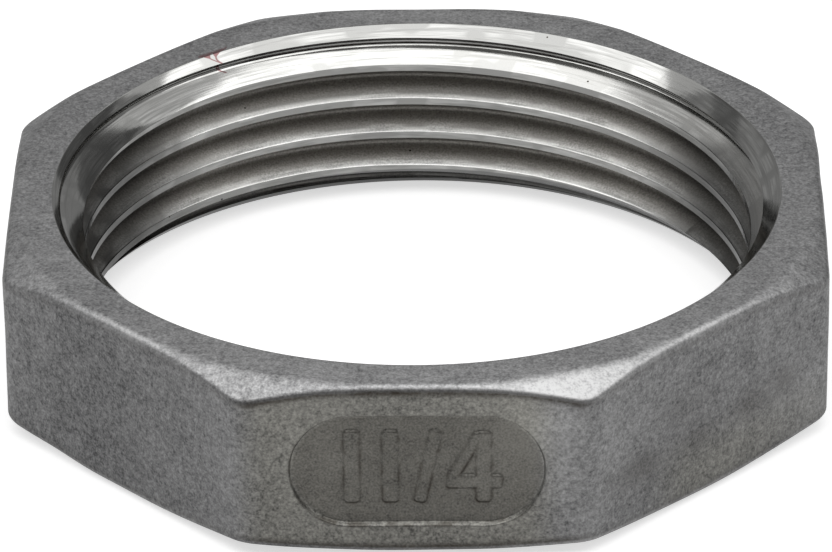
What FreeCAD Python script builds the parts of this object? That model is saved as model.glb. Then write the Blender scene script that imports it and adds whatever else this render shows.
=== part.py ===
import FreeCAD, Part
import math
import os

from FreeCAD import Vector

# Octagonal pipe lock nut for a 1 1/4 inch parallel pipe thread, cast in one piece
# and then bored, countersunk and tapped. Millimetres and degrees. The bore's axis
# is Z, the nut lies on z = 0, and the flat with the size panel faces -Y.

# Casting
sides = 8
nut_height = 10.9
wall = 2.795               # from the roots of the thread out to the flats
corner_radius = 1.9        # upright corners
chamfer_inset = 0.4        # from a flat in to the circle where the corner chamfer starts
chamfer_slope = 19.5       # fall of the corner chamfer below the face
face_rounding = 0.6        # soft bend from the face into the chamfer
edge_break = 0.25          # worn-down cast edge between the chamfer and the flats

# Size panel, a shallow stadium sunk in one flat
panel_length = 14.3
panel_height = 7.0
panel_depth = 0.3

# Thread: right-handed, 11 turns to the inch, 55 degree flanks
thread_major = 41.91
thread_pitch = 2.309
thread_angle = 55.0
crest_opening = 0.07       # how far the drill opens the crests past their full height
thread_start = 349.0       # angle from +X where the middle of a groove crosses z = 0

# Countersinks at both ends of the bore
countersink_margin = 0.345 # radial, past the roots of the thread
countersink_angle = 90.0

# Cutters, which stand past what they cut
cutter_overrun = 1.0
groove_overrun = 0.25      # of the groove's outline into the open bore
groove_piece_turn = 180.0  # the groove is cut in pieces of this turn
bore_piece_turn = 90.0     # the bore's wall is turned in pieces of this turn

# Worked out from the sizes above
half_flats = thread_major / 2 + wall             # 23.75, so 47.5 across flats
corner_distance = half_flats / math.cos(math.pi / sides)
flank = math.tan(math.radians(thread_angle / 2))
sharp_height = thread_pitch / 2 / flank          # of the thread's full triangle
root_radius = thread_major / 2
flanks_meet = root_radius + sharp_height / 6     # radius where the two flanks would meet
crest_radius = root_radius - sharp_height * 2 / 3 + crest_opening
sink_radius = root_radius + countersink_margin
sink_slope = math.tan(math.radians(countersink_angle / 2))


def turned(outline, turn, start=0.0):
    """Solid of a face in the XZ plane, carried round Z."""
    solid = outline.revolve(Vector(0, 0, 0), Vector(0, 0, 1), turn)
    solid.rotate(Vector(0, 0, 0), Vector(0, 0, 1), start)
    return solid


def is_upright(edge):
    return abs(edge.tangentAt(edge.FirstParameter).z) > 0.99


def octagon_bar():
    """Bar with its upright corners rounded."""
    step = 2 * math.pi / sides
    angles = [step * (i + 0.5) for i in range(sides)]
    corners = [Vector(corner_distance * math.cos(a), corner_distance * math.sin(a), 0) for a in angles]
    bar = Part.Face(Part.makePolygon(corners + corners[:1])).extrude(Vector(0, 0, nut_height))
    return bar.makeFillet(corner_radius, [edge for edge in bar.Edges if is_upright(edge)])


def chamfer_lens():
    """Turned shape that both corner chamfers lie on: two faces, two cones and their soft bends."""
    slope = math.radians(chamfer_slope)
    face_radius = half_flats - chamfer_inset
    bend = face_rounding * math.tan(slope / 2)
    reach = corner_distance + cutter_overrun

    def upper(radius, drop):
        return Vector(radius, 0, nut_height - drop)

    def lower(radius, drop):
        return Vector(radius, 0, drop)

    mid_radius = face_radius - bend + face_rounding * math.sin(slope / 2)
    mid_drop = face_rounding * (1 - math.cos(slope / 2))
    stations = [
        (face_radius - bend, 0),
        (mid_radius, mid_drop),
        (face_radius + bend * math.cos(slope), bend * math.sin(slope)),
        (reach, (reach - face_radius) * math.tan(slope)),
    ]
    edges = []
    for place in (upper, lower):
        bend_start, bend_middle, bend_end, rim = [place(*station) for station in stations]
        edges.append(Part.makeLine(place(0, 0), bend_start))
        edges.append(Part.Arc(bend_start, bend_middle, bend_end).toShape())
        edges.append(Part.makeLine(bend_end, rim))
    edges.append(Part.makeLine(upper(*stations[-1]), lower(*stations[-1])))
    edges.append(Part.makeLine(lower(0, 0), upper(0, 0)))
    return turned(Part.Face(Part.Wire(Part.__sortEdges__(edges))), 360)


def casting():
    """Octagon with its corners chamfered and its edges broken, as it leaves the mould."""
    body = octagon_bar().common(chamfer_lens())
    rim = []
    for edge in body.Edges:
        middle = edge.valueAt((edge.FirstParameter + edge.LastParameter) / 2)
        on_flats = math.hypot(middle.x, middle.y) > half_flats - chamfer_inset / 4
        if on_flats and not is_upright(edge):
            rim.append(edge)
    return body.makeChamfer(edge_break, rim)


def size_panel():
    """Stadium-shaped pocket of the flat that faces -Y."""
    end = panel_height / 2
    run = panel_length / 2 - end
    middle = nut_height / 2

    def point(x, up):
        return Vector(x, -half_flats - cutter_overrun, middle + up)

    edges = [
        Part.makeLine(point(-run, -end), point(run, -end)),
        Part.Arc(point(run, -end), point(run + end, 0), point(run, end)).toShape(),
        Part.makeLine(point(run, end), point(-run, end)),
        Part.Arc(point(-run, end), point(-run - end, 0), point(-run, -end)).toShape(),
    ]
    return Part.Face(Part.Wire(edges)).extrude(Vector(0, cutter_overrun + panel_depth, 0))


def bore_pieces():
    """The drilled bore with a countersink at each end, in equal sectors."""
    depth = (sink_radius - crest_radius) / sink_slope
    flare = sink_radius + cutter_overrun * sink_slope
    outline = [
        Vector(0, 0, -cutter_overrun),
        Vector(flare, 0, -cutter_overrun),
        Vector(crest_radius, 0, depth),
        Vector(crest_radius, 0, nut_height - depth),
        Vector(flare, 0, nut_height + cutter_overrun),
        Vector(0, 0, nut_height + cutter_overrun),
    ]
    face = Part.Face(Part.makePolygon(outline + outline[:1]))
    count = round(360 / bore_piece_turn)
    return [turned(face, bore_piece_turn, i * bore_piece_turn) for i in range(count)]


def groove_pieces():
    """The groove that the tap cuts: its outline carried up a helix, in equal pieces of turn."""
    mouth_radius = crest_radius - groove_overrun
    mouth = (flanks_meet - mouth_radius) * flank
    root = (flanks_meet - root_radius) * flank
    outline = [
        Vector(mouth_radius, 0, -mouth),
        Vector(root_radius, 0, -root),
        Vector(root_radius, 0, root),
        Vector(mouth_radius, 0, mouth),
    ]
    rise = thread_pitch * groove_piece_turn / 360
    sweep = Part.BRepOffsetAPI.MakePipeShell(Part.makeHelix(thread_pitch, rise, root_radius))
    sweep.setFrenetMode(True)
    sweep.add(Part.makePolygon(outline + outline[:1]))
    sweep.build()
    sweep.makeSolid()
    piece = sweep.shape()
    pieces = []
    first = math.floor((-mouth - rise) / rise)
    last = math.ceil((nut_height + mouth) / rise)
    for i in range(first, last + 1):
        copy = piece.copy()
        copy.translate(Vector(0, 0, i * rise))
        copy.rotate(Vector(0, 0, 0), Vector(0, 0, 1), thread_start + i * groove_piece_turn)
        pieces.append(copy)
    return pieces


def lock_nut():
    """Casting with its panel, then bored, countersunk and tapped."""
    nut = casting().cut(size_panel())
    for piece in bore_pieces() + groove_pieces():
        nut = nut.cut(piece)
    return nut


nut = lock_nut()
print("lock nut:", len(nut.Solids), "solid, valid", nut.isValid(), "volume", round(nut.Volume, 1), "mm3")
os.makedirs("parts", exist_ok=True)
nut.exportStep("parts/lock_nut.step")
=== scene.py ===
import math

import bmesh
import bpy
import numpy as np
from mathutils import Matrix, Vector


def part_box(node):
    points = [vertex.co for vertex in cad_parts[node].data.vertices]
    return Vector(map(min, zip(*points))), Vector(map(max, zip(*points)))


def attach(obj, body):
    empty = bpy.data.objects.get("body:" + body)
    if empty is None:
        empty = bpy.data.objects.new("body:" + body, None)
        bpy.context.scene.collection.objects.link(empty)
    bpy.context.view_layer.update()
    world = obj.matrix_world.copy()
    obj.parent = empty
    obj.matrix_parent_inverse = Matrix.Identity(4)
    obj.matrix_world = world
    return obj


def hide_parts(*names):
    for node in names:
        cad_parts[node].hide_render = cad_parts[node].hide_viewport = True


# An octagonal pipe lock nut of cast stainless steel, bored, countersunk and tapped.
# Sizes are millimetres in the dictionaries and metres in the meshes.

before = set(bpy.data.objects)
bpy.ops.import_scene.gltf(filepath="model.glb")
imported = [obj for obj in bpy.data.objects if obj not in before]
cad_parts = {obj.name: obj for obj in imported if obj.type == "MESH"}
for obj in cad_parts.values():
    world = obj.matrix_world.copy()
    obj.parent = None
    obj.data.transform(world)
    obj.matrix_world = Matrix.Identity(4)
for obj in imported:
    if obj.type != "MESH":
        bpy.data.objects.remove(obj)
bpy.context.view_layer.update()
mm = 0.001
print("frame loaded:", sorted(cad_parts))


def boxSize():
    low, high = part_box("lock_nut")
    return (high - low) / mm


# The casting. Its width and height come from the frame.
casting = {
    "sides": 8,
    "acrossFlats": boxSize().x,
    "height": boxSize().z,
    "cornerRadius": 1.9,         # upright corners
    # Corner chamfers: from a flat in to the circle where they start, or out to it where that
    # is less than nothing, and degrees below the face at the four corners between the flat
    # with the panel and the one behind it.
    "upperChamfer": {"inset": -0.05, "slopes": (29.0, 26.5, 29.0, 23.0)},
    "lowerChamfer": {"inset": 0.8, "slopes": (15.5, 17.0, 20.0, 20.0)},
    "fade": 0.05,                # how softly a chamfer runs out on a flat
    "leastWidth": 0.15,          # of it there, inside the edge's round
    "faceBend": 0.38,            # half length of the soft bend from face to chamfer
    "bendShare": 0.9,            # of the chamfer that this half may take up
    "edgeRounding": 0.42,        # cast edge between chamfer and flat, at the flat with the panel
    "softerRounding": 0.52,      # the same at the other flats
    "softening": (0.34, 0.2),    # turn from the panel's middle in radians, for fadeIn
    "rimRounding": 0.08,         # where the turned countersink meets the cast face
    "waviness": 0.0175,          # how far the skin wanders, as cast faces do
    "wanderBias": 2.2,           # inwards, to stay within the frame's box
    "waveLength": 7.0,
    "seed": 7,
    "cell": 0.63,                # of the mesh, away from the size panel
    "cornerCells": 8,            # of the mesh round an upright corner
    # Rows of the mesh on each part of the section, and those where the wandering sets in.
    "rows": {"rim": 3, "face": 6, "bend": 5, "chamfer": 4, "edge": 8, "wall": 4, "calm": 10},
}

# The stadium-shaped panel with the nominal size, on the flat that faces -Y. Each numeral
# is straight strokes about the panel's middle: both ends, then the stroke's width.
panel = {
    "middle": 0.15,              # along the flat
    "length": 14.3,
    "height": 7.0,
    "depth": 0.3,
    "wallWidth": 0.13,           # how far its wall runs as it drops
    "reliefHeight": 0.13,        # of the numerals above the panel
    "reliefWall": 0.2,           # how far their sides run
    "strokeRounding": 0.25,      # of the strokes' corners
    "strokes": [
        (-3.66, -2.14, -3.66, 2.5, 0.92),      # one
        (-1.51, -2.14, -1.51, 2.5, 0.92),      # one
        (0.1, -2.14, 1.08, 2.5, 0.72),         # bar
        (3.71, -2.14, 3.71, 2.4, 0.88),        # four
        (1.86, -0.72, 3.5, 2.3, 0.64),
        (1.62, -0.83, 4.78, -0.83, 0.84),
    ],
    "margins": (0.35, 0.3),      # of its finer patch of mesh, beside and above it
    "cells": (24, 12),           # of the casting's mesh that the patch replaces
    "borderCells": 3,            # of the casting's mesh beside it on the flat
    "finer": 10,                 # how many times finer the patch is
}

# The tapped bore.
thread = {
    "crestRadius": 19.5465,
    "rootRadius": 20.955,
    "sinkRadius": 21.3,          # countersink at the face
    "pitch": 2.309,
    "angle": 55.0,
    "start": 349.0,              # degrees from +X where the middle of a groove crosses z = 0
    # Worn edge of each crest, and the points of its round in parts of that size: out from
    # the crest, and along it from the flank.
    "crestBreak": 0.05,
    "breakOut": (0.0, 0.3, 1.0),
    "breakAlong": (0.75, 0.55, 0.12),
    "rootSteps": 5,              # of half a root's round
    "stepsPerTurn": 300,
    "leadTurns": 0.8,            # of the tap's path below the nut and above it
    "overrun": 0.25,             # of the cutter into the open bore
    "creaseAngle": 34,           # degrees between turned faces at a sharp edge
}


# A curve from 0 to 1 with level ends: three t squared less two t cubed.
def smoothStep(t):
    t = np.clip(t, 0.0, 1.0)
    return t * t * (3.0 - 2.0 * t)


# The same curve over a pair: where it starts, and the length over which it runs.
def fadeIn(distance, pair):
    return smoothStep((distance - pair[0]) / pair[1])


# Distance of an octagon with rounded corners from its middle, at each angle:
# half the width over the cosine on a flat, and the corner circle's far side between.
def outlineRadius(angle):
    half = casting["acrossFlats"] / 2
    corner = casting["cornerRadius"]
    share = math.pi / casting["sides"]
    turn = np.mod(angle + share, 2 * share) - share
    centre = (half - corner) / math.cos(share)
    off = share - np.abs(turn)
    across = centre * np.sin(off)
    arc = centre * np.cos(off) + np.sqrt(np.maximum(corner ** 2 - across ** 2, 0.0))
    onArc = np.abs(np.tan(turn)) * half > (half - corner) * math.tan(share)
    return np.where(onArc, arc, half / np.cos(turn))


# Reach of the panel's patch along the flat and up it, from the panel's middle.
def patchReach():
    beside, above = panel["margins"]
    return panel["length"] / 2 + beside, panel["height"] / 2 + above


# Angles of the mesh's columns: even steps of length along each flat, with lines at the
# patch's ends on the flat with the panel, and even steps of angle round each corner.
def columnAngles():
    half = casting["acrossFlats"] / 2
    share = math.pi / casting["sides"]
    flatEnd = (half - casting["cornerRadius"]) * math.tan(share)
    edge = math.atan2(flatEnd, half)
    cornerSteps = np.linspace(0, 1, casting["cornerCells"] + 1)[1:-1]
    reach = patchReach()[0]
    middle = panel["middle"]
    border = panel["borderCells"] + 1
    angles = []
    for side in range(casting["sides"]):
        if side == 0:
            along = np.concatenate([
                np.linspace(-flatEnd, middle - reach, border)[:-1],
                np.linspace(middle - reach, middle + reach, panel["cells"][0] + 1),
                np.linspace(middle + reach, flatEnd, border)[1:],
            ])
        else:
            along = np.linspace(-flatEnd, flatEnd, round(2 * flatEnd / casting["cell"]) + 1)
        turn = -math.pi / 2 + 2 * share * side
        angles.append(turn + np.arctan2(along, half))
        angles.append(turn + edge + cornerSteps * 2 * (share - edge))
    return np.concatenate(angles)


# Turn from the middle of the flat with the panel, in radians.
def turnFromPanel(angle):
    return np.abs(np.mod(angle + 1.5 * math.pi, 2 * math.pi) - math.pi)


# Half of the upright section, from the countersink's rim out over the face, down the
# chamfer and round its edge, for every column: radius and drop below the face. Where a
# chamfer's circle lies outside the flat, its fall fades to nothing and only the round stays.
def edgeProfile(angle, chamfer):
    rows = casting["rows"]
    edgeRadius = outlineRadius(angle)
    turn = turnFromPanel(angle)
    corners = 180 / casting["sides"] * np.arange(1, casting["sides"], 2)
    steepness = np.tan(np.radians(np.interp(np.degrees(turn), corners, chamfer["slopes"])))
    softer = fadeIn(turn, casting["softening"])
    rounding = casting["edgeRounding"] + softer * (casting["softerRounding"] - casting["edgeRounding"])
    circle = casting["acrossFlats"] / 2 - chamfer["inset"]
    fall = (edgeRadius - circle) * steepness
    fall = (fall + np.hypot(fall, casting["fade"])) / 2
    start = np.minimum(circle, edgeRadius - rounding - casting["leastWidth"])
    slope = np.arctan(fall / (edgeRadius - start))
    tangent = rounding * np.tan((math.pi / 2 - slope) / 2)
    coneEnd = edgeRadius - tangent * np.cos(slope)
    bend = np.minimum(casting["faceBend"], (coneEnd - start) * casting["bendShare"])
    one = np.ones_like(edgeRadius)
    rim = casting["rimRounding"]
    sinkLean = math.pi / 4
    rimEnd = thread["sinkRadius"] + rim * math.tan(sinkLean / 2)
    radii = []
    drops = []
    for lean in np.linspace(sinkLean, 0, rows["rim"] + 1):
        radii.append((rimEnd - rim * math.sin(lean)) * one)
        drops.append(rim * (1 - math.cos(lean)) * one)
    for part in np.linspace(0, 1, rows["face"] + 1)[1:]:
        radii.append(rimEnd + part * (start - bend - rimEnd))
        drops.append(0 * one)
    for part in np.linspace(0, 1, rows["bend"] + 1)[1:]:
        radii.append(start - bend + 2 * bend * part)
        drops.append(bend * part ** 2 * np.tan(slope))
    for part in np.linspace(0, 1, rows["chamfer"] + 1)[1:]:
        reach = start + bend + part * (coneEnd - start - bend)
        radii.append(reach)
        drops.append((reach - start) * np.tan(slope))
    centreDrop = drops[-1] + rounding * np.cos(slope)
    for lean in np.linspace(slope, math.pi / 2, rows["edge"] + 1)[1:]:
        radii.append(edgeRadius - rounding + rounding * np.sin(lean))
        drops.append(centreDrop - rounding * np.cos(lean))
    return np.array(radii), np.array(drops)


# The casting's closed section at every column, as rows of radius and height: the upper
# face and edge, the wall, the lower edge and face, and the bore with its countersinks.
def castingRows(angle):
    height = casting["height"]
    upperRadii, upperDrops = edgeProfile(angle, casting["upperChamfer"])
    lowerRadii, lowerDrops = edgeProfile(angle, casting["lowerChamfer"])
    reach = patchReach()[1]
    levels = height / 2 + np.linspace(reach, -reach, panel["cells"][1] + 1)
    wallTop = height - upperDrops[-1]
    share = np.linspace(0, 1, casting["rows"]["wall"] + 1)[1:-1, None]
    upperWall = wallTop + share * (levels[0] - wallTop)
    lowerWall = levels[-1] + share * (lowerDrops[-1] - levels[-1])
    wallHeights = np.concatenate([upperWall, levels[:, None] + 0 * angle, lowerWall])
    wallRadii = np.broadcast_to(outlineRadius(angle), wallHeights.shape)
    sinkDepth = thread["sinkRadius"] - thread["crestRadius"]
    crest = np.full((1, angle.size), thread["crestRadius"])
    boreRows = np.array([sinkDepth, height - sinkDepth])[:, None] + 0 * angle
    rowRadii = np.concatenate([upperRadii, wallRadii, lowerRadii[::-1], crest, crest])
    rowHeights = np.concatenate([height - upperDrops, wallHeights, lowerDrops[::-1], boreRows])
    counts = {"half": len(upperRadii), "wall": len(wallHeights), "all": len(rowRadii),
              "patch": len(upperRadii) + len(upperWall)}
    return rowRadii, rowHeights, counts


# A smooth random field over space: a sum of sine waves of like length that run in
# random directions, with a root mean square of one.
def wanderField(points, waveLength, seed, waves=24):
    draw = np.random.default_rng(seed)
    direction = draw.normal(size=(waves, 3))
    direction /= np.linalg.norm(direction, axis=1)[:, None]
    number = 2 * math.pi / waveLength * draw.uniform(0.6, 1.6, waves)
    phase = draw.uniform(0, 2 * math.pi, waves)
    total = np.zeros(points.shape[:-1])
    for i in range(waves):
        total += np.sin(points @ direction[i] * number[i] + phase[i])
    return total * math.sqrt(2 / waves)


# How far a point is outside the nearest of the numerals' strokes, less than nothing inside:
# for one stroke, how far the point lies past its ends and past its sides, rounded off.
def strokeDistance(x, z):
    corner = panel["strokeRounding"]
    nearest = np.full(x.shape, np.inf)
    for x0, z0, x1, z1, width in panel["strokes"]:
        length = math.hypot(x1 - x0, z1 - z0)
        ux, uz = (x1 - x0) / length, (z1 - z0) / length
        along = (x - x0) * ux + (z - z0) * uz
        across = np.abs((x - x0) * uz - (z - z0) * ux)
        past = np.maximum(-along, along - length) + corner
        beside = across - width / 2 + corner
        outside = np.hypot(np.maximum(past, 0), np.maximum(beside, 0))
        outside += np.minimum(np.maximum(past, beside), 0)
        nearest = np.minimum(nearest, outside - corner)
    return nearest


# How far the flat is sunk at a point: the panel's depth inside a stadium, smooth over
# its wall, less the flat-topped numerals.
def panelDepth(x, z):
    end = panel["height"] / 2
    run = panel["length"] / 2 - end
    wall = panel["wallWidth"]
    inside = end - np.hypot(np.maximum(np.abs(x) - run, 0.0), z)
    relief = panel["reliefHeight"] * smoothStep(0.5 - strokeDistance(x, z) / panel["reliefWall"])
    return panel["depth"] * smoothStep(inside / wall + 0.5) - relief


def addObject(name, mesh):
    thing = bpy.data.objects.new(name, mesh)
    bpy.context.scene.collection.objects.link(thing)
    return thing


# Lets a cast surface wander: each point moves along its outward direction by the random
# field times the waviness, and by nothing where its weight is nothing. It stays between
# the planes of the two faces.
def letWander(points, weight):
    flat = np.hypot(points[..., 0], points[..., 1])
    outward = np.stack([points[..., 0] / flat, points[..., 1] / flat,
                        (points[..., 2] / casting["height"] - 0.5) * 2], -1)
    outward /= np.linalg.norm(outward, axis=-1)[..., None]
    wander = wanderField(points, casting["waveLength"], casting["seed"]) - casting["wanderBias"]
    moved = points + outward * (wander * casting["waviness"] * weight)[..., None]
    moved[..., 2] = np.clip(moved[..., 2], 0, casting["height"])
    return moved


# The flat's finer patch, as rows and columns of points, with the panel sunk into it.
def patchPoints():
    reachX, reachZ = patchReach()
    across, up = np.array(panel["cells"]) * panel["finer"]
    x = np.linspace(-reachX, reachX, across + 1)
    z = np.linspace(reachZ, -reachZ, up + 1)
    x, z = np.meshgrid(x, z)
    flat = 0 * x - casting["acrossFlats"] / 2
    points = np.stack([x + panel["middle"], flat, z + casting["height"] / 2], -1)
    points = letWander(points, 1.0)
    points[..., 1] += panelDepth(x, z)
    return points


# Faces of the closed grid with the patch let in: quads everywhere, and on the cells round
# the patch a longer face that takes in the patch's border points.
def castingFaces(rows, columns, top, left):
    finer = panel["finer"]
    across, up = panel["cells"]
    index = np.arange(rows * columns).reshape(rows, columns)
    fine = rows * columns + np.arange((up * finer + 1) * (across * finer + 1)).reshape(up * finer + 1, -1)
    bottom, right = top + up, left + across
    index[top:bottom + 1, left:right + 1] = fine[::finer, ::finer]
    below = np.roll(index, -1, axis=0)
    cells = np.stack([index, below, np.roll(below, -1, axis=1), np.roll(index, -1, axis=1)], -1)
    plain = np.ones((rows, columns), bool)
    plain[top - 1:bottom + 1, left:right] = False
    plain[top:bottom, left - 1:right + 1] = False
    quads = np.stack([fine[:-1, :-1], fine[1:, :-1], fine[1:, 1:], fine[:-1, 1:]], -1).reshape(-1, 4)
    faces = np.concatenate([cells[plain], quads]).tolist()
    for i in range(up):
        here, there = i * finer, (i + 1) * finer
        a, b, c, d = cells[top + i, left - 1].tolist()
        faces.append([a, b, c, *fine[there - 1:here:-1, 0].tolist(), d])
        a, b, c, d = cells[top + i, right].tolist()
        faces.append([a, *fine[here + 1:there, -1].tolist(), b, c, d])
    for i in range(across):
        here, there = i * finer, (i + 1) * finer
        a, b, c, d = cells[top - 1, left + i].tolist()
        faces.append([a, b, *fine[0, here + 1:there].tolist(), c, d])
        a, b, c, d = cells[bottom, left + i].tolist()
        faces.append([a, b, c, d, *fine[-1, there - 1:here:-1].tolist()])
    return faces


# The casting before it is tapped: every section turned to its column's angle, the skin
# let wander a little, and the patch with the panel let into the flat that faces -Y.
def buildCasting():
    angle = columnAngles()
    radii, heights, counts = castingRows(angle)
    points = np.stack([radii * np.cos(angle), radii * np.sin(angle), heights], -1)
    half, wall = counts["half"], counts["wall"]
    skinRows = 2 * half + wall
    cast = np.zeros(counts["all"])
    cast[:skinRows] = 1.0
    calmRows = casting["rows"]["calm"]
    cast[:half] = smoothStep(np.arange(half) / calmRows)
    cast[half + wall:skinRows] = cast[:half][::-1]
    points = letWander(points, cast[:, None])
    faces = castingFaces(counts["all"], angle.size, counts["patch"], panel["borderCells"])
    mesh = bpy.data.meshes.new("lockNut")
    everyPoint = np.concatenate([points.reshape(-1, 3), patchPoints().reshape(-1, 3)])
    mesh.from_pydata((everyPoint * mm).tolist(), [], faces)
    centres = np.empty(len(faces) * 3)
    mesh.polygons.foreach_get("center", centres)
    centres = centres.reshape(-1, 3) / mm
    turned = np.hypot(centres[:, 0], centres[:, 1]) < thread["sinkRadius"] + casting["rimRounding"] / 2
    mesh.polygons.foreach_set("material_index", turned.astype(np.int32))
    removeLoosePoints(mesh)
    return addObject("lockNut", mesh)


def removeLoosePoints(mesh):
    work = bmesh.new()
    work.from_mesh(mesh)
    bmesh.ops.delete(work, geom=[v for v in work.verts if not v.link_faces], context="VERTS")
    work.to_mesh(mesh)
    work.free()


# Outline of the groove that the tap cuts, as radius and height about its middle: the
# two flanks, a round root tangent to both, and the worn edges of the crests.
def grooveOutline():
    lean = math.radians(thread["angle"] / 2)
    slope = math.tan(lean)
    full = thread["pitch"] / 2 / slope
    apex = thread["rootRadius"] + full / 6
    rounding = (apex - thread["rootRadius"]) / (1 / math.sin(lean) - 1)
    centre = thread["rootRadius"] - rounding
    turn = np.linspace(math.pi / 2 - lean, 0, thread["rootSteps"] + 1)
    rootRadii = centre + rounding * np.cos(turn)
    rootHeights = rounding * np.sin(turn)
    wear = thread["crestBreak"]
    crest = thread["crestRadius"]
    mouth = (apex - crest) * slope
    breakRadii = crest + wear * np.array(thread["breakOut"])
    breakHeights = mouth + wear * np.array(thread["breakAlong"])
    radii = np.concatenate([[crest - thread["overrun"]], breakRadii, rootRadii])
    heights = np.concatenate([breakHeights, [mouth - wear * slope], rootHeights])
    radii = np.concatenate([radii, radii[-2::-1]])
    heights = np.concatenate([heights, -heights[-2::-1]])
    return radii, heights


# The tap's whole path as one closed tube: the groove's outline carried up a
# right-handed helix, from below the nut to above it, and capped at both ends.
def buildTap():
    radii, heights = grooveOutline()
    pitch = thread["pitch"]
    lead = thread["leadTurns"]
    turns = casting["height"] / pitch + 2 * lead
    count = round(turns * thread["stepsPerTurn"])
    turn = -lead + turns * np.arange(count + 1) / count
    angle = math.radians(thread["start"]) + 2 * math.pi * turn
    points = np.stack([
        radii[None, :] * np.cos(angle)[:, None],
        radii[None, :] * np.sin(angle)[:, None],
        heights[None, :] + pitch * turn[:, None],
    ], -1)
    size = len(radii)
    index = np.arange(points.shape[0] * size).reshape(-1, size)
    here, there = index[:-1], index[1:]
    quads = np.stack([here, np.roll(here, -1, 1), np.roll(there, -1, 1), there], -1).reshape(-1, 4)
    mesh = bpy.data.meshes.new("tap")
    faces = quads.tolist() + [index[0][::-1].tolist(), index[-1].tolist()]
    mesh.from_pydata((points.reshape(-1, 3) * mm).tolist(), [], faces)
    mesh.polygons.foreach_set("material_index", np.ones(len(faces), np.int32))
    mesh.update()
    return addObject("tap", mesh)


# Takes the tap's path out of the casting, and keeps the result as the casting's mesh.
def tapCasting(nut, tap):
    cut = nut.modifiers.new("tapping", "BOOLEAN")
    cut.operation = "DIFFERENCE"
    cut.solver = "MANIFOLD"
    cut.object = tap
    bpy.context.view_layer.update()
    result = bpy.data.meshes.new_from_object(nut.evaluated_get(bpy.context.evaluated_depsgraph_get()))
    nut.modifiers.clear()
    old = nut.data
    nut.data = result
    bpy.data.meshes.remove(old)
    bpy.data.objects.remove(tap)
    nut.data.name = "lockNut"
    print("tapped:", len(result.polygons), "faces")


# Smooth shading, with a crease where two turned faces meet at more than the given angle.
def creaseTurnedEdges(mesh, degrees):
    loops = len(mesh.loops)
    faces = len(mesh.polygons)
    edgeOfLoop = np.empty(loops, np.int32)
    mesh.loops.foreach_get("edge_index", edgeOfLoop)
    total = np.empty(faces, np.int32)
    mesh.polygons.foreach_get("loop_total", total)
    normals = np.empty(faces * 3)
    mesh.polygons.foreach_get("normal", normals)
    normals = normals.reshape(-1, 3)
    material = np.empty(faces, np.int32)
    mesh.polygons.foreach_get("material_index", material)
    faceOfLoop = np.repeat(np.arange(faces), total)
    order = np.argsort(edgeOfLoop, kind="stable")
    pairs = faceOfLoop[order].reshape(-1, 2)
    edges = edgeOfLoop[order][::2]
    cosine = (normals[pairs[:, 0]] * normals[pairs[:, 1]]).sum(1)
    turned = (material[pairs] == 1).all(1)
    sharp = np.zeros(len(mesh.edges), bool)
    sharp[edges] = turned & (cosine < math.cos(math.radians(degrees)))
    mesh.shade_smooth()
    mesh.attributes.new("sharp_edge", "BOOLEAN", "EDGE").data.foreach_set("value", sharp)
    mesh.update()


# Colours and nodes.
def linear(code):
    values = [int(code[i:i + 2], 16) / 255 for i in (1, 3, 5)]
    return [v / 12.92 if v <= 0.04045 else ((v + 0.055) / 1.055) ** 2.4 for v in values] + [1.0]


# Adds one node. Inputs give each socket a value, or what it is linked from: another node's
# output, or a node in place of its first output. Settings are the node's own properties.
def addNode(tree, kind, inputs=None, **settings):
    node = tree.nodes.new("ShaderNode" + kind)
    for key, value in settings.items():
        setattr(node, key, value)
    for key, value in (inputs or {}).items():
        if isinstance(value, bpy.types.Node):
            value = value.outputs[0]
        if isinstance(value, bpy.types.NodeSocket):
            tree.links.new(value, node.inputs[key])
        else:
            node.inputs[key].default_value = value
    return node


def newMaterial(name):
    material = bpy.data.materials.new(name)
    material.use_nodes = True
    material.node_tree.nodes.clear()
    return material, material.node_tree


# Investment-cast stainless steel, blasted with fine grit: a matt grey skin with a
# sand-like grain. Worn edges are brighter, and brown grime lies in corners and on flats;
# the same maps also carry painted highlight and painted shade.
skin = {
    "dark": "#505051",
    "light": "#aaaaaa",
    "warm": "#fffcec",           # warm tint, laid on by the warmth map
    # colour of the grime, and of the painted shade and painted dark reflection
    "grimeAndShade": "#38322b",
    # Start and end of the second noise's range, and the share of the grime and painted shade at its start.
    "grimeAndShadeRange": (0.3, 0.6, 0.5),
    "roughness": 0.5,
    # Noises that make up the tone: width in mm, detail, weight.
    "tones": [(0.13, 1.0, 1.4), (0.32, 2.0, 1.4), (1.3, 2.0, 0.55), (4.5, 3.0, 0.4)],
    "toneRange": (1.205, 2.735),  # of the tone, from dark to light
    "grainDepth": 0.009,         # of the first noise as relief, in mm
    "dentDepth": 0.035,          # of the third
}


# A thin red-brown stain in two wavy strands from the face's rim down the countersink.
stain = {
    "colour": "#5c3436",
    "angle": 125.6,              # degrees from +X
    "end": 21.75,                # its outer end's distance from the axis
    "endFade": 0.3,
    "drop": 1.15,                # its lower end below the face
    "width": 0.07,               # of a strand
    "spread": 1.2,               # widths from its middle to where it has faded
    "strength": 0.8,
    "rimSmear": 0.9,             # how much wider it is past the rim
    "rimFade": 0.15,             # to both sides of the rim
    # Each strand's place along the turning, its sway, and its wave's radians per mm.
    "strands": [(0.12, 0.5, 3.6), (-0.3, -0.35, 4.7)],
}


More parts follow.
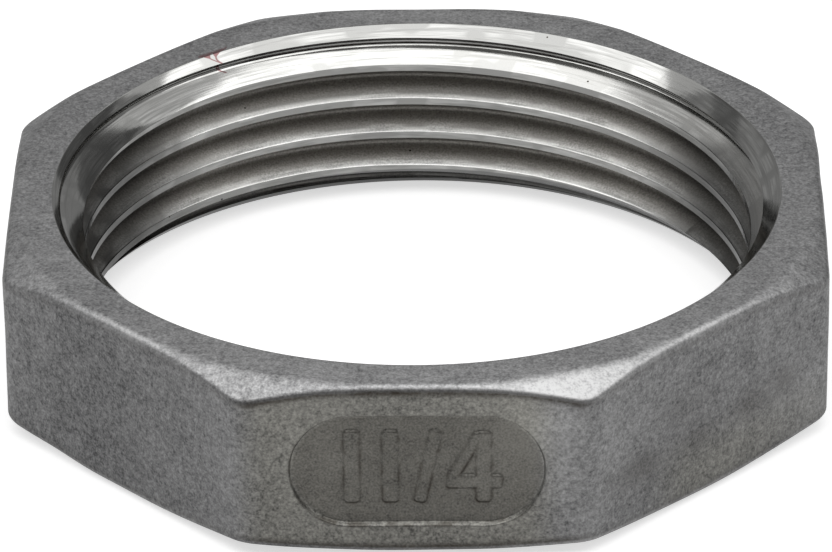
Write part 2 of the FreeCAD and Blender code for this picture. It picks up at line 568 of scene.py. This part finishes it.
# The stain's share of a place's colour: a strand lies where the distance along the turning
# from its own place is its sway times the sine of the distance from the axis.
def stainShare(tree, place):
    angle = math.radians(stain["angle"])
    outward = (math.cos(angle) / mm, math.sin(angle) / mm, 0)
    sideways = (-math.sin(angle) / mm, math.cos(angle) / mm, 0)
    out = addNode(tree, "VectorMath", {0: place, 1: outward}, operation="DOT_PRODUCT").outputs["Value"]
    along = addNode(tree, "VectorMath", {0: place, 1: sideways}, operation="DOT_PRODUCT").outputs["Value"]
    distances = []
    for start, sway, rate in stain["strands"]:
        phase = addNode(tree, "Math", {0: out, 1: rate}, operation="MULTIPLY")
        wave = addNode(tree, "Math", {0: phase}, operation="SINE")
        strand = addNode(tree, "Math", {0: wave, 1: sway, 2: start}, operation="MULTIPLY_ADD")
        off = addNode(tree, "Math", {0: along, 1: strand}, operation="SUBTRACT")
        distances.append(addNode(tree, "Math", {0: off}, operation="ABSOLUTE"))
    nearest = addNode(tree, "Math", {0: distances[0], 1: distances[1]}, operation="MINIMUM")
    past = addNode(tree, "MapRange",
                   {"Value": out, "From Min": thread["sinkRadius"] - stain["rimFade"],
                    "From Max": thread["sinkRadius"] + stain["rimFade"], "To Max": stain["rimSmear"] / 2})
    widened = addNode(tree, "Math", {0: nearest, 1: past}, operation="SUBTRACT")
    share = addNode(tree, "MapRange",
                    {"Value": widened, "From Min": stain["width"] / 2,
                     "From Max": stain["width"] * stain["spread"], "To Min": stain["strength"],
                     "To Max": 0.0})
    inReach = addNode(tree, "MapRange",
                      {"Value": out, "From Min": stain["end"], "From Max": stain["end"] - stain["endFade"]})
    height = addNode(tree, "SeparateXYZ", {0: place}).outputs["Z"]
    low = (casting["height"] - stain["drop"]) * mm
    high = addNode(tree, "Math", {0: height, 1: low}, operation="GREATER_THAN")
    ahead = addNode(tree, "Math", {0: out, 1: 0.0}, operation="GREATER_THAN")
    onSide = addNode(tree, "Math", {0: high, 1: ahead}, operation="MULTIPLY")
    both = addNode(tree, "Math", {0: inReach, 1: onSide}, operation="MULTIPLY")
    return addNode(tree, "Math", {0: share, 1: both}, operation="MULTIPLY")


# Tone: the noises times their weights, plus the wear and painted light. Colour: dark to light
# by the tone, tinted by the warmth, then towards the grime colour by the grime and painted
# shade times a share of the second noise.
def castSkin():
    material, tree = newMaterial("castStainlessSteel")
    place = addNode(tree, "TexCoord").outputs["Object"]
    tone = addNode(tree, "Attribute", attribute_name="wear").outputs["Fac"]
    noises = []
    for width, detail, weight in skin["tones"]:
        noise = addNode(tree, "TexNoise", {"Vector": place, "Scale": 1 / (width * mm), "Detail": detail})
        noises.append(noise)
        tone = addNode(tree, "Math", {0: noise, 1: weight, 2: tone}, operation="MULTIPLY_ADD")
    low, high = skin["toneRange"]
    share = addNode(tree, "MapRange", {"Value": tone, "From Min": low, "From Max": high})
    colour = addNode(tree, "Mix",
                     {0: share, 6: linear(skin["dark"]), 7: linear(skin["light"])}, data_type="RGBA")
    warmth = addNode(tree, "Attribute", attribute_name="warmth").outputs["Fac"]
    warm = addNode(tree, "Mix", {0: warmth, 6: colour.outputs[2], 7: linear(skin["warm"])},
                   data_type="RGBA", blend_type="MULTIPLY")
    grimeAndShade = addNode(tree, "Attribute", attribute_name="grimeAndShade").outputs["Fac"]
    low, high, least = skin["grimeAndShadeRange"]
    patchy = addNode(tree, "MapRange",
                     {"Value": noises[1], "From Min": low, "From Max": high, "To Min": least})
    film = addNode(tree, "Math", {0: grimeAndShade, 1: patchy}, operation="MULTIPLY")
    grimedAndShaded = addNode(tree, "Mix",
                    {0: film, 6: warm.outputs[2], 7: linear(skin["grimeAndShade"])}, data_type="RGBA")
    stained = addNode(tree, "Mix",
                      {0: stainShare(tree, place), 6: grimedAndShaded.outputs[2], 7: linear(stain["colour"])},
                      data_type="RGBA")
    dents = addNode(tree, "Bump",
                    {"Height": noises[2], "Strength": 1.0, "Distance": skin["dentDepth"] * mm})
    grain = addNode(tree, "Bump",
                    {"Height": noises[0], "Strength": 1.0, "Distance": skin["grainDepth"] * mm,
                     "Normal": dents})
    shader = addNode(tree, "BsdfPrincipled",
                     {"Base Color": stained.outputs[2], "Metallic": 1.0, "Roughness": skin["roughness"],
                      "Normal": grain})
    addNode(tree, "OutputMaterial", {"Surface": shader})
    return material


# Turned and tapped stainless steel: bright, with fine lines left by the tool all round and
# duller patches, and a brown-grey film of old cutting oil in the thread that dulls it.
# Sizes are mm, and pairs are where something starts and where it is full.
steel = {
    "clean": "#b2b2b0",
    "line": "#8d8d8b",
    "film": "#9e9b96",
    "pit": "#34312d",
    "cleanRoughness": 0.1,
    "filmRoughness": 0.55,
    "lineWidth": 0.2,
    "lineLength": 6.0,
    "lineLean": 0.3,             # share of the height in the lines' distance from the axis
    "lineRange": (0.4, 0.62),    # of the lines' noise, from a line to none
    "lineDepth": 0.003,
    "patch": 2.6,
    "dullRange": (0.48, 0.58),   # of the patches' noise
    "dullShare": 0.8,
    "wipedRange": (0.42, 0.6),   # of the patches' noise
    "wipedShares": (0.95, 0.4),  # of the film left on the flanks at those two
    "grain": 0.12,               # of the film
    "grainRange": (0.25, 0.75),
    "grainShade": 0.3,           # brightness less and more at those two
    "filmDepth": (0.03, 0.6),    # shares of the groove's depth
    "flankDepth": 0.06,          # share of it where the crest's round ends
    "upperFilm": 0.12,           # share of the film on the first turn
    "firstTurn": (1.7, 3.2),     # below the upper face
    "sides": (12.5, 18.0),       # distances from the middle plane where painted shade darkens the bore
    "sideShade": 0.33,           # brightness the painted shade leaves there
    "pitSpacing": 2.2,
    "pitRadius": 0.07,
    "foot": (1.0, 1.7),          # heights over which the painted shade at the bore's lower end fades out
    "footShade": 0.4,            # brightness the painted shade leaves at its start
    "sink": (1.0, 0.8),          # below the upper face, for the painted shade on the countersink
    "sinkShade": 0.75,           # brightness the painted shade leaves on its middle part
    "sinkSides": (10.0, 15.0),   # distances from the middle plane where that part fades
}


# Lines: a noise over x, y and the distance from the axis, stretched along the turning.
# Film: the groove's depth, times a share that grows below the first turn. By that share
# painted shade darkens the bore towards its sides, and painted shade darkens it at its lower
# end and its upper rim.
def turnedSteel():
    material, tree = newMaterial("turnedStainlessSteel")
    place = addNode(tree, "TexCoord").outputs["Object"]
    x, y, height = addNode(tree, "SeparateXYZ", {0: place}).outputs
    top = casting["height"]
    flat = addNode(tree, "VectorMath", {0: place, 1: (1, 1, 0)}, operation="MULTIPLY")
    radius = addNode(tree, "VectorMath", {0: flat}, operation="LENGTH")
    across = addNode(tree, "Math", {0: height, 1: steel["lineLean"], 2: radius.outputs["Value"]},
                     operation="MULTIPLY_ADD")
    turned = addNode(tree, "CombineXYZ", {0: x, 1: y, 2: across})
    long, short = 1 / (steel["lineLength"] * mm), 1 / (steel["lineWidth"] * mm)
    stretched = addNode(tree, "VectorMath", {0: turned, 1: (long, long, short)}, operation="MULTIPLY")
    lines = addNode(tree, "TexNoise",
                    {"Vector": stretched, "Scale": 1.0, "Detail": 3.0, "Roughness": 0.7})
    patches = addNode(tree, "TexNoise",
                      {"Vector": place, "Scale": 1 / (steel["patch"] * mm), "Detail": 1.0})
    grain = addNode(tree, "TexNoise",
                    {"Vector": place, "Scale": 1 / (steel["grain"] * mm), "Detail": 1.0})

    depth = addNode(tree, "Attribute", attribute_name="grooveDepth").outputs["Fac"]
    low, high = steel["filmDepth"]
    deep = addNode(tree, "MapRange", {"Value": depth, "From Min": low, "From Max": high})
    onFlank = addNode(tree, "MapRange", {"Value": depth, "From Max": steel["flankDepth"]})
    # Painted shade towards the bore's sides, stronger below the first turn.
    sideways = addNode(tree, "Math", {0: x}, operation="ABSOLUTE")
    low, high = steel["sides"]
    side = addNode(tree, "MapRange",
                   {"Value": sideways, "From Min": low * mm, "From Max": high * mm, "To Min": 1.0,
                    "To Max": steel["sideShade"]}, interpolation_type="SMOOTHSTEP")
    high, low = steel["firstTurn"]
    lower = addNode(tree, "MapRange",
                    {"Value": height, "From Min": (top - high) * mm, "From Max": (top - low) * mm,
                     "To Min": steel["upperFilm"]}, interpolation_type="SMOOTHSTEP")
    film = addNode(tree, "Math", {0: deep, 1: lower}, operation="MULTIPLY")
    dark = addNode(tree, "Mix", {0: lower, 2: 1.0, 3: side})
    low, high = steel["wipedRange"]
    first, last = steel["wipedShares"]
    wiped = addNode(tree, "MapRange",
                    {"Value": patches, "From Min": low, "From Max": high, "To Min": first, "To Max": last})
    matt = addNode(tree, "Math", {0: lower, 1: wiped}, operation="MULTIPLY")
    least = addNode(tree, "Math", {0: onFlank, 1: matt}, operation="MULTIPLY")
    dulled = addNode(tree, "Math", {0: film, 1: least}, operation="MAXIMUM")

    low, high = steel["dullRange"]
    dull = addNode(tree, "MapRange",
                   {"Value": patches, "From Min": low, "From Max": high, "To Max": steel["dullShare"]})
    low, high = steel["lineRange"]
    lined = addNode(tree, "MapRange",
                    {"Value": lines, "From Min": low, "From Max": high, "To Min": 1.0, "To Max": 0.0})
    marked = addNode(tree, "Math", {0: dull, 1: lined}, operation="MAXIMUM")
    bright = addNode(tree, "Mix",
                     {0: marked, 6: linear(steel["clean"]), 7: linear(steel["line"])}, data_type="RGBA")
    filmed = addNode(tree, "Mix",
                     {0: film, 6: bright.outputs[2], 7: linear(steel["film"])}, data_type="RGBA")

    low, high = steel["grainRange"]
    spread = addNode(tree, "MapRange",
                     {"Value": grain, "From Min": low, "From Max": high, "To Min": -steel["grainShade"],
                      "To Max": steel["grainShade"]})
    grainy = addNode(tree, "Math", {0: spread, 1: dulled, 2: 1.0}, operation="MULTIPLY_ADD")
    # Painted shade at the bore's lower end.
    low, high = steel["foot"]
    foot = addNode(tree, "MapRange",
                   {"Value": height, "From Min": low * mm, "From Max": high * mm,
                    "To Min": steel["footShade"]})
    # Painted shade on the middle of the upper countersink.
    low, high = steel["sinkSides"]
    plain = addNode(tree, "MapRange",
                    {"Value": sideways, "From Min": low * mm, "From Max": high * mm,
                     "To Min": steel["sinkShade"], "To Max": 1.0})
    low, high = steel["sink"]
    sunk = addNode(tree, "MapRange",
                   {"Value": height, "From Min": (top - low) * mm, "From Max": (top - high) * mm,
                    "To Min": 1.0, "To Max": plain})
    ends = addNode(tree, "Math", {0: foot, 1: sunk}, operation="MULTIPLY")
    paintedShade = addNode(tree, "Math", {0: dark, 1: ends}, operation="MULTIPLY")
    shaded = addNode(tree, "Math", {0: grainy, 1: paintedShade}, operation="MULTIPLY")
    grained = addNode(tree, "VectorMath", {0: filmed.outputs[2], "Scale": shaded}, operation="SCALE")

    cells = addNode(tree, "TexVoronoi", {"Vector": place, "Scale": 1 / (steel["pitSpacing"] * mm)})
    near = addNode(tree, "Math",
                   {0: cells, 1: steel["pitRadius"] / steel["pitSpacing"]}, operation="LESS_THAN")
    pitted = addNode(tree, "Mix", {0: near, 6: grained, 7: linear(steel["pit"])}, data_type="RGBA")
    colour = addNode(tree, "Mix",
                     {0: stainShare(tree, place), 6: pitted.outputs[2], 7: linear(stain["colour"])},
                     data_type="RGBA")
    rough = addNode(tree, "MapRange",
                    {"Value": dulled, "To Min": steel["cleanRoughness"],
                     "To Max": steel["filmRoughness"]})
    bump = addNode(tree, "Bump", {"Height": lines, "Strength": 1.0, "Distance": steel["lineDepth"] * mm})
    shader = addNode(tree, "BsdfPrincipled",
                     {"Base Color": colour.outputs[2], "Metallic": 1.0, "Roughness": rough,
                      "Normal": bump})
    addNode(tree, "OutputMaterial", {"Surface": shader})
    return material


def meshPoints(mesh):
    points = np.empty(len(mesh.vertices) * 3)
    mesh.vertices.foreach_get("co", points)
    return points.reshape(-1, 3) / mm


def keepOnPoints(mesh, name, values):
    mesh.attributes.new(name, "FLOAT", "POINT").data.foreach_set("value", np.clip(values, -1, 1))


# Keeps on each point how deep it lies in the thread's groove: nothing on the crests and
# the countersinks, one at the roots.
def markGrooves(mesh):
    points = meshPoints(mesh)
    half = casting["height"] / 2
    sinkStart = half - (thread["sinkRadius"] - thread["crestRadius"])
    openRadius = thread["crestRadius"] + np.maximum(np.abs(points[:, 2] - half) - sinkStart, 0)
    past = np.hypot(points[:, 0], points[:, 1]) - openRadius
    keepOnPoints(mesh, "grooveDepth", past / (thread["rootRadius"] - thread["crestRadius"]))


# Where the skin is worn, dirty and warm, and where light and shade are painted on it. Turns
# are degrees from the panel's flat towards the right, and places on a flat are mm along it
# and up. A pair without another note is for fadeIn.
marks = {
    "outside": (-0.7, 0.3),      # mm past the flats
    "front": (19.0, 5.0),        # turn where the panel's flat ends
    "flat": (20.0, 4.0),         # turn from a flat's middle where its patches end
    "plainWear": 0.05,           # on every chamfer
    # wear and painted highlight on the chamfers and edges: turn, half width, strength; a strength less than
    # nothing is painted shade
    "wear": [(22.5, 12, 0.5), (0, 9, 0.3), (-22.5, 9, -0.12), (-45, 15, 0.55), (45, 15, 0.45)],
    "wearDrop": 0.12,            # below the face, where the wear is full
    "wearEnd": (-0.05, 0.25),    # above the chamfer's edge
    "paleFaceBand": (11.0, 0.18),     # a paler band on the faces: half width to both sides of the middle plane, strength
    # Painted light and shade, as paler and darker places: the flat's turn from the panel's
    # flat, along, up, half width, half height, strength.
    "paintedLightAndShade": [(0, 7.6, 8.2, 3.6, 3.4, 0.42), (0, -6.5, 8.6, 2.8, 2.2, 0.14), (0, 0.5, 0.5, 8.0, 3.6, -0.1),
              (45, -8.6, 6.5, 2.2, 4.5, 0.2), (45, 8.2, 3.5, 3.0, 4.0, 0.17),
              (-45, -2.5, 6.0, 5.5, 6.0, -0.27), (-45, 8.8, 6.0, 2.0, 4.0, 0.08)],
    "paintedEdgeShade": 0.85,           # painted dark reflection: a dark line below the edge over the panel
    "otherEdges": 0.25,          # share of it at the other flats
    "edgeLine": (0.05, 0.16),    # its middle below the edge, and its half width
    "paintedFootShade": 0.15,           # painted shade along the lower edge, near the floor
    "footHeight": 1.1,
    "outlineGrimeAndShade": 0.5,         # grime round the numerals and the panel, and painted shade on the numerals' lower sides
    "outlineWidth": 0.12,
    "rimFoot": 0.8,              # share of the panel's half height where its lower rim starts
    "rimShares": (1.5, 0.7),     # of the outline's darkening on the lower rim, and on the rest
    "slopeReach": 0.1,           # up and down, to tell the numerals' upper sides
    "slopes": (-0.21, 0.35),     # rise over that reach, from none of the outline's darkening to all of it: painted shade on the numerals' lower sides, none on their upper sides
    "gapLength": 1.2,            # of the field that breaks the outline
    "gaps": (-0.7, 1.2),
    "panelGrime": 0.42,
    "panelFade": 0.3,            # from the panel's rim inwards
    # Smudges on the flat to the panel's right, and spots of painted dark reflection just under the edge
    # over the panel: turn, along, up, half width, half height, strength.
    "smudgesAndShade": [(45, -5.9, 3.9, 2.1, 0.95, 0.42), (45, -1.3, 4.0, 1.6, 0.8, 0.3),
                (45, 3.1, 4.5, 1.7, 0.8, 0.4), (45, 6.2, 4.9, 1.2, 0.8, 0.35),
                (45, -2.0, 6.3, 2.4, 1.3, 0.16), (0, 4.2, 10.2, 0.3, 0.15, 0.7),
                (0, -9.3, 9.7, 0.6, 0.3, 0.5), (0, 9.3, 9.6, 0.5, 0.3, 0.5),
                (0, -2.5, 10.5, 0.35, 0.12, 0.6), (0, -1.2, 10.5, 0.35, 0.12, 0.6)],
    "frontWarmth": 0.6,          # on the panel's flat
    "frontEnd": (6.0, 2.5),      # along it
    "rightWarmth": 0.5,          # on the flat to its right
    "rightTurn": (45, 20, 24),   # that flat's turn, the half width, and where it is cut off
    "rightStart": (-6.0, 4.0),   # along that flat
    "rightTop": (2.0, 3.0),      # up it
    "warmStart": (-0.1, 0.2),    # below the chamfer's edge
}


# A bell curve: e to the minus square of the distance over the width.
def bell(distance, width):
    return np.exp(-(distance / width) ** 2)


# The sum of the strengths times two bell curves each, on the flats that they belong to.
def patchSum(patches, points, turn):
    total = np.zeros(len(points))
    for flat, middle, up, width, height, strength in patches:
        angle = math.radians(flat)
        along = points[:, 0] * math.cos(angle) + points[:, 1] * math.sin(angle)
        onFlat = 1 - fadeIn(np.abs(turn - flat), marks["flat"])
        total += strength * bell(along - middle, width) * bell(points[:, 2] - up, height) * onFlat
    return total


# Wear and painted highlight lie on the chamfer and its rounded edge, and painted light and
# shade in the paler and darker places. Painted dark reflection lies below that edge, painted
# shade along the lower edge, grime in the panel, grime and painted shade round the numerals,
# and smudges and spots of painted dark reflection on the flats. Warmth lies on the panel's
# flat and low on the one to its right.
def markSkin(mesh):
    points = meshPoints(mesh)
    x, y, z = points.T
    angle = np.arctan2(y, x)
    turn = np.degrees(np.mod(angle + 1.5 * math.pi, 2 * math.pi) - math.pi)
    outside = fadeIn(np.hypot(x, y) - casting["acrossFlats"] / 2, marks["outside"])
    drop = np.minimum(z, casting["height"] - z)
    edgeDrop = np.where(z > casting["height"] / 2, edgeProfile(angle, casting["upperChamfer"])[1][-1],
                        edgeProfile(angle, casting["lowerChamfer"])[1][-1])
    front = 1 - fadeIn(np.abs(turn), marks["front"])

    wearAndPaintedLight = marks["plainWear"] + 0 * z
    # Wear and painted highlight on the chamfers and their edges, and painted shade where a strength is less
    # than nothing.
    for middle, width, strength in marks["wear"]:
        wearAndPaintedLight += strength * bell(turn - middle, width)
    wearAndPaintedLight *= smoothStep(drop / marks["wearDrop"]) * fadeIn(edgeDrop - drop, marks["wearEnd"])
    # Painted light and shade: paler and darker places on the flats.
    wearAndPaintedLight += patchSum(marks["paintedLightAndShade"], points, turn)
    reach, strength = marks["paleFaceBand"]
    paleFaceBand = strength * bell(x, reach) * (1 - outside)

    share = marks["otherEdges"]
    below, width = marks["edgeLine"]
    # Painted dark reflection below the upper edge.
    grimeAndShade = marks["paintedEdgeShade"] * (share + (1 - share) * front) * bell(drop - edgeDrop - below, width)
    # Painted shade along the lower edge.
    grimeAndShade = np.maximum(grimeAndShade, marks["paintedFootShade"] * smoothStep(1 - z / marks["footHeight"]))
    along, up = x - panel["middle"], z - casting["height"] / 2
    end = panel["height"] / 2
    run = panel["length"] / 2 - end
    inside = end - np.hypot(np.maximum(np.abs(along) - run, 0.0), up)
    # Grime round the panel's rim and the numerals, with painted shade on the numerals' lower sides.
    width = marks["outlineWidth"]
    rim = bell(inside, width) * np.where(up < -marks["rimFoot"] * end, *marks["rimShares"])
    reach = marks["slopeReach"]
    rise = strokeDistance(along, up - reach) - strokeDistance(along, up + reach)
    outline = bell(strokeDistance(along, up), width) * fadeIn(rise, marks["slopes"])
    broken = fadeIn(wanderField(points, marks["gapLength"], casting["seed"]), marks["gaps"])
    sunk = marks["panelGrime"] * smoothStep(inside / marks["panelFade"])
    sunk += marks["outlineGrimeAndShade"] * np.maximum(rim, outline) * broken
    grimeAndShade = np.maximum(grimeAndShade, sunk * front)
    # Smudges, and spots of painted dark reflection under the upper edge.
    grimeAndShade += patchSum(marks["smudgesAndShade"], points, turn)

    warmth = marks["frontWarmth"] * front * (1 - fadeIn(x, marks["frontEnd"]))
    middle, width, reach = marks["rightTurn"]
    right = marks["rightWarmth"] * bell(turn - middle, width) * (np.abs(turn - middle) < reach)
    right *= fadeIn((x + y) / math.sqrt(2), marks["rightStart"])
    warmth += right * (1 - fadeIn(z, marks["rightTop"]))
    warmth *= fadeIn(drop - edgeDrop, marks["warmStart"])
    keepOnPoints(mesh, "wear", wearAndPaintedLight * outside + paleFaceBand)
    keepOnPoints(mesh, "grimeAndShade", grimeAndShade * outside)
    keepOnPoints(mesh, "warmth", warmth * outside)


finishes = [castSkin(), turnedSteel()]
nut = buildCasting()
tap = buildTap()
for thing in (nut, tap):
    for finish in finishes:
        thing.data.materials.append(finish)
print("casting built:", len(nut.data.polygons), "faces")
tapCasting(nut, tap)
nut.data.calc_loop_triangles()
print("triangles:", len(nut.data.loop_triangles))
creaseTurnedEdges(nut.data, thread["creaseAngle"])
markGrooves(nut.data)
markSkin(nut.data)
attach(nut, "root")
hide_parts("lock_nut")


# Studio: a pale floor, a wide soft lamp overhead, a white background, and screens that
# the metal mirrors: grey round the sides and back, dark on the camera's side. Metres.
studio = {
    "floorSize": 3.0,
    "floorColour": "#d2d2d2",
    "floorGlow": (0.62, 0.28),   # towards the camera, and towards what mirrors the floor
    "lampSize": (1.16, 0.39),
    "lampPlace": (0.0, -0.075, 0.45),
    "lampLevel": 2.0,            # times the brightness of a white surface
    "worldLevel": 0.3,
    # Screens: name, first and last degree from +X, radius, height, colour.
    "screens": [
        ("frontScreen", -152, -28, 1.3, 1.0, "#2b2724"),
        ("rightScreen", -28, 32, 0.6, 0.46, "#a8a8a8"),
        ("darkRightScreen", 32, 60, 0.6, 0.46, "#6c6c6c"),
        ("backScreen", 60, 140, 0.6, 0.46, "#a8a8a8"),
        ("darkLeftScreen", 140, 150, 0.6, 0.46, "#808080"),
        ("leftScreen", 150, 208, 0.6, 0.46, "#a8a8a8"),
    ],
}


# One for the rays that look at the background: from the camera, mirrored or let through.
def backgroundRays(tree):
    path = addNode(tree, "LightPath")
    seen = addNode(tree, "Math",
                   {0: path.outputs["Is Camera Ray"], 1: path.outputs["Is Glossy Ray"]},
                   operation="MAXIMUM")
    return addNode(tree, "Math",
                   {0: seen, 1: path.outputs["Is Transmission Ray"]}, operation="MAXIMUM")


def buildWorld():
    world = bpy.data.worlds.new("studio")
    bpy.context.scene.world = world
    world.use_nodes = True
    tree = world.node_tree
    tree.nodes.clear()
    level = addNode(tree, "MapRange",
                    {"Value": backgroundRays(tree), "To Min": studio["worldLevel"], "To Max": 1.0})
    back = addNode(tree, "Background", {"Color": linear("#ffffff"), "Strength": level})
    addNode(tree, "OutputWorld", {"Surface": back})


def buildFloor():
    half = studio["floorSize"] / 2
    mesh = bpy.data.meshes.new("floor")
    corners = [(-half, -half, 0), (half, -half, 0), (half, half, 0), (-half, half, 0)]
    mesh.from_pydata(corners, [], [(0, 1, 2, 3)])
    material, tree = newMaterial("floorPaper")
    matt = addNode(tree, "BsdfDiffuse", {"Color": linear(studio["floorColour"])})
    path = addNode(tree, "LightPath")
    seen, mirrored = studio["floorGlow"]
    share = addNode(tree, "Math", {0: path.outputs["Is Camera Ray"], 1: seen}, operation="MULTIPLY")
    both = addNode(tree, "Math",
                   {0: path.outputs["Is Glossy Ray"], 1: mirrored, 2: share}, operation="MULTIPLY_ADD")
    glow = addNode(tree, "Emission", {"Strength": both})
    paper = addNode(tree, "AddShader", {0: matt, 1: glow})
    addNode(tree, "OutputMaterial", {"Surface": paper})
    mesh.materials.append(material)
    addObject("floor", mesh)


# A screen: a wall of even colour on an arc round the object, past the picture's edges,
# seen only by what mirrors it.
def buildScreen(name, first, last, radius, height, colour):
    count = 24
    turn = np.radians(np.linspace(first, last, count + 1))
    ring = radius * np.stack([np.cos(turn), np.sin(turn)], -1)
    low = np.column_stack([ring, np.zeros(count + 1)])
    high = np.column_stack([ring, np.full(count + 1, height)])
    here = np.arange(count)
    faces = np.stack([here, here + count + 1, here + count + 2, here + 1], -1)
    mesh = bpy.data.meshes.new(name)
    mesh.from_pydata(np.concatenate([low, high]).tolist(), [], faces.tolist())
    material, tree = newMaterial(name)
    even = addNode(tree, "Emission", {"Color": linear(colour)})
    addNode(tree, "OutputMaterial", {"Surface": even})
    mesh.materials.append(material)
    screen = addObject(name, mesh)
    screen.visible_camera = False
    screen.visible_shadow = False


def buildStudio():
    buildWorld()
    buildFloor()
    for screen in studio["screens"]:
        buildScreen(*screen)
    light = bpy.data.lights.new("softbox", "AREA")
    light.shape = "RECTANGLE"
    light.size, light.size_y = studio["lampSize"]
    light.energy = studio["lampLevel"] * math.pi * light.size * light.size_y
    lamp = addObject("softbox", light)
    lamp.location = studio["lampPlace"]


# The camera of the photograph, from a fit of the nut's outline, rim and crests.
camera = {
    "distance": 383.7,           # from the middle of the nut
    "elevation": 28.596,
    "azimuth": 0.660,
    "roll": 0.563,
    "yaw": -0.013,
    "pitch": 0.074,
    "lens": 281.97,              # on a sensor 36 mm wide
}


def buildCamera():
    elevation = math.radians(camera["elevation"])
    azimuth = math.radians(camera["azimuth"])
    back = Vector((math.sin(azimuth) * math.cos(elevation), -math.cos(azimuth) * math.cos(elevation),
                   math.sin(elevation)))
    right = Vector((math.cos(azimuth), math.sin(azimuth), 0))
    up = back.cross(right)
    rows = Matrix((right, up, back))
    turn = (Matrix.Rotation(math.radians(camera["roll"]), 3, "Z")
            @ Matrix.Rotation(math.radians(camera["pitch"]), 3, "X")
            @ Matrix.Rotation(math.radians(camera["yaw"]), 3, "Y"))
    rows = turn @ rows
    data = bpy.data.cameras.new("camera")
    data.lens = camera["lens"]
    data.sensor_width = 36.0
    data.clip_end = 20.0
    thing = addObject("camera", data)
    place = Vector((0, 0, casting["height"] / 2)) + back * camera["distance"]
    thing.matrix_world = Matrix.Translation(place * mm) @ rows.transposed().to_4x4()
    bpy.context.scene.camera = thing


buildStudio()
buildCamera()
bpy.context.scene.view_settings.view_transform = "Standard"
print("studio and camera set")
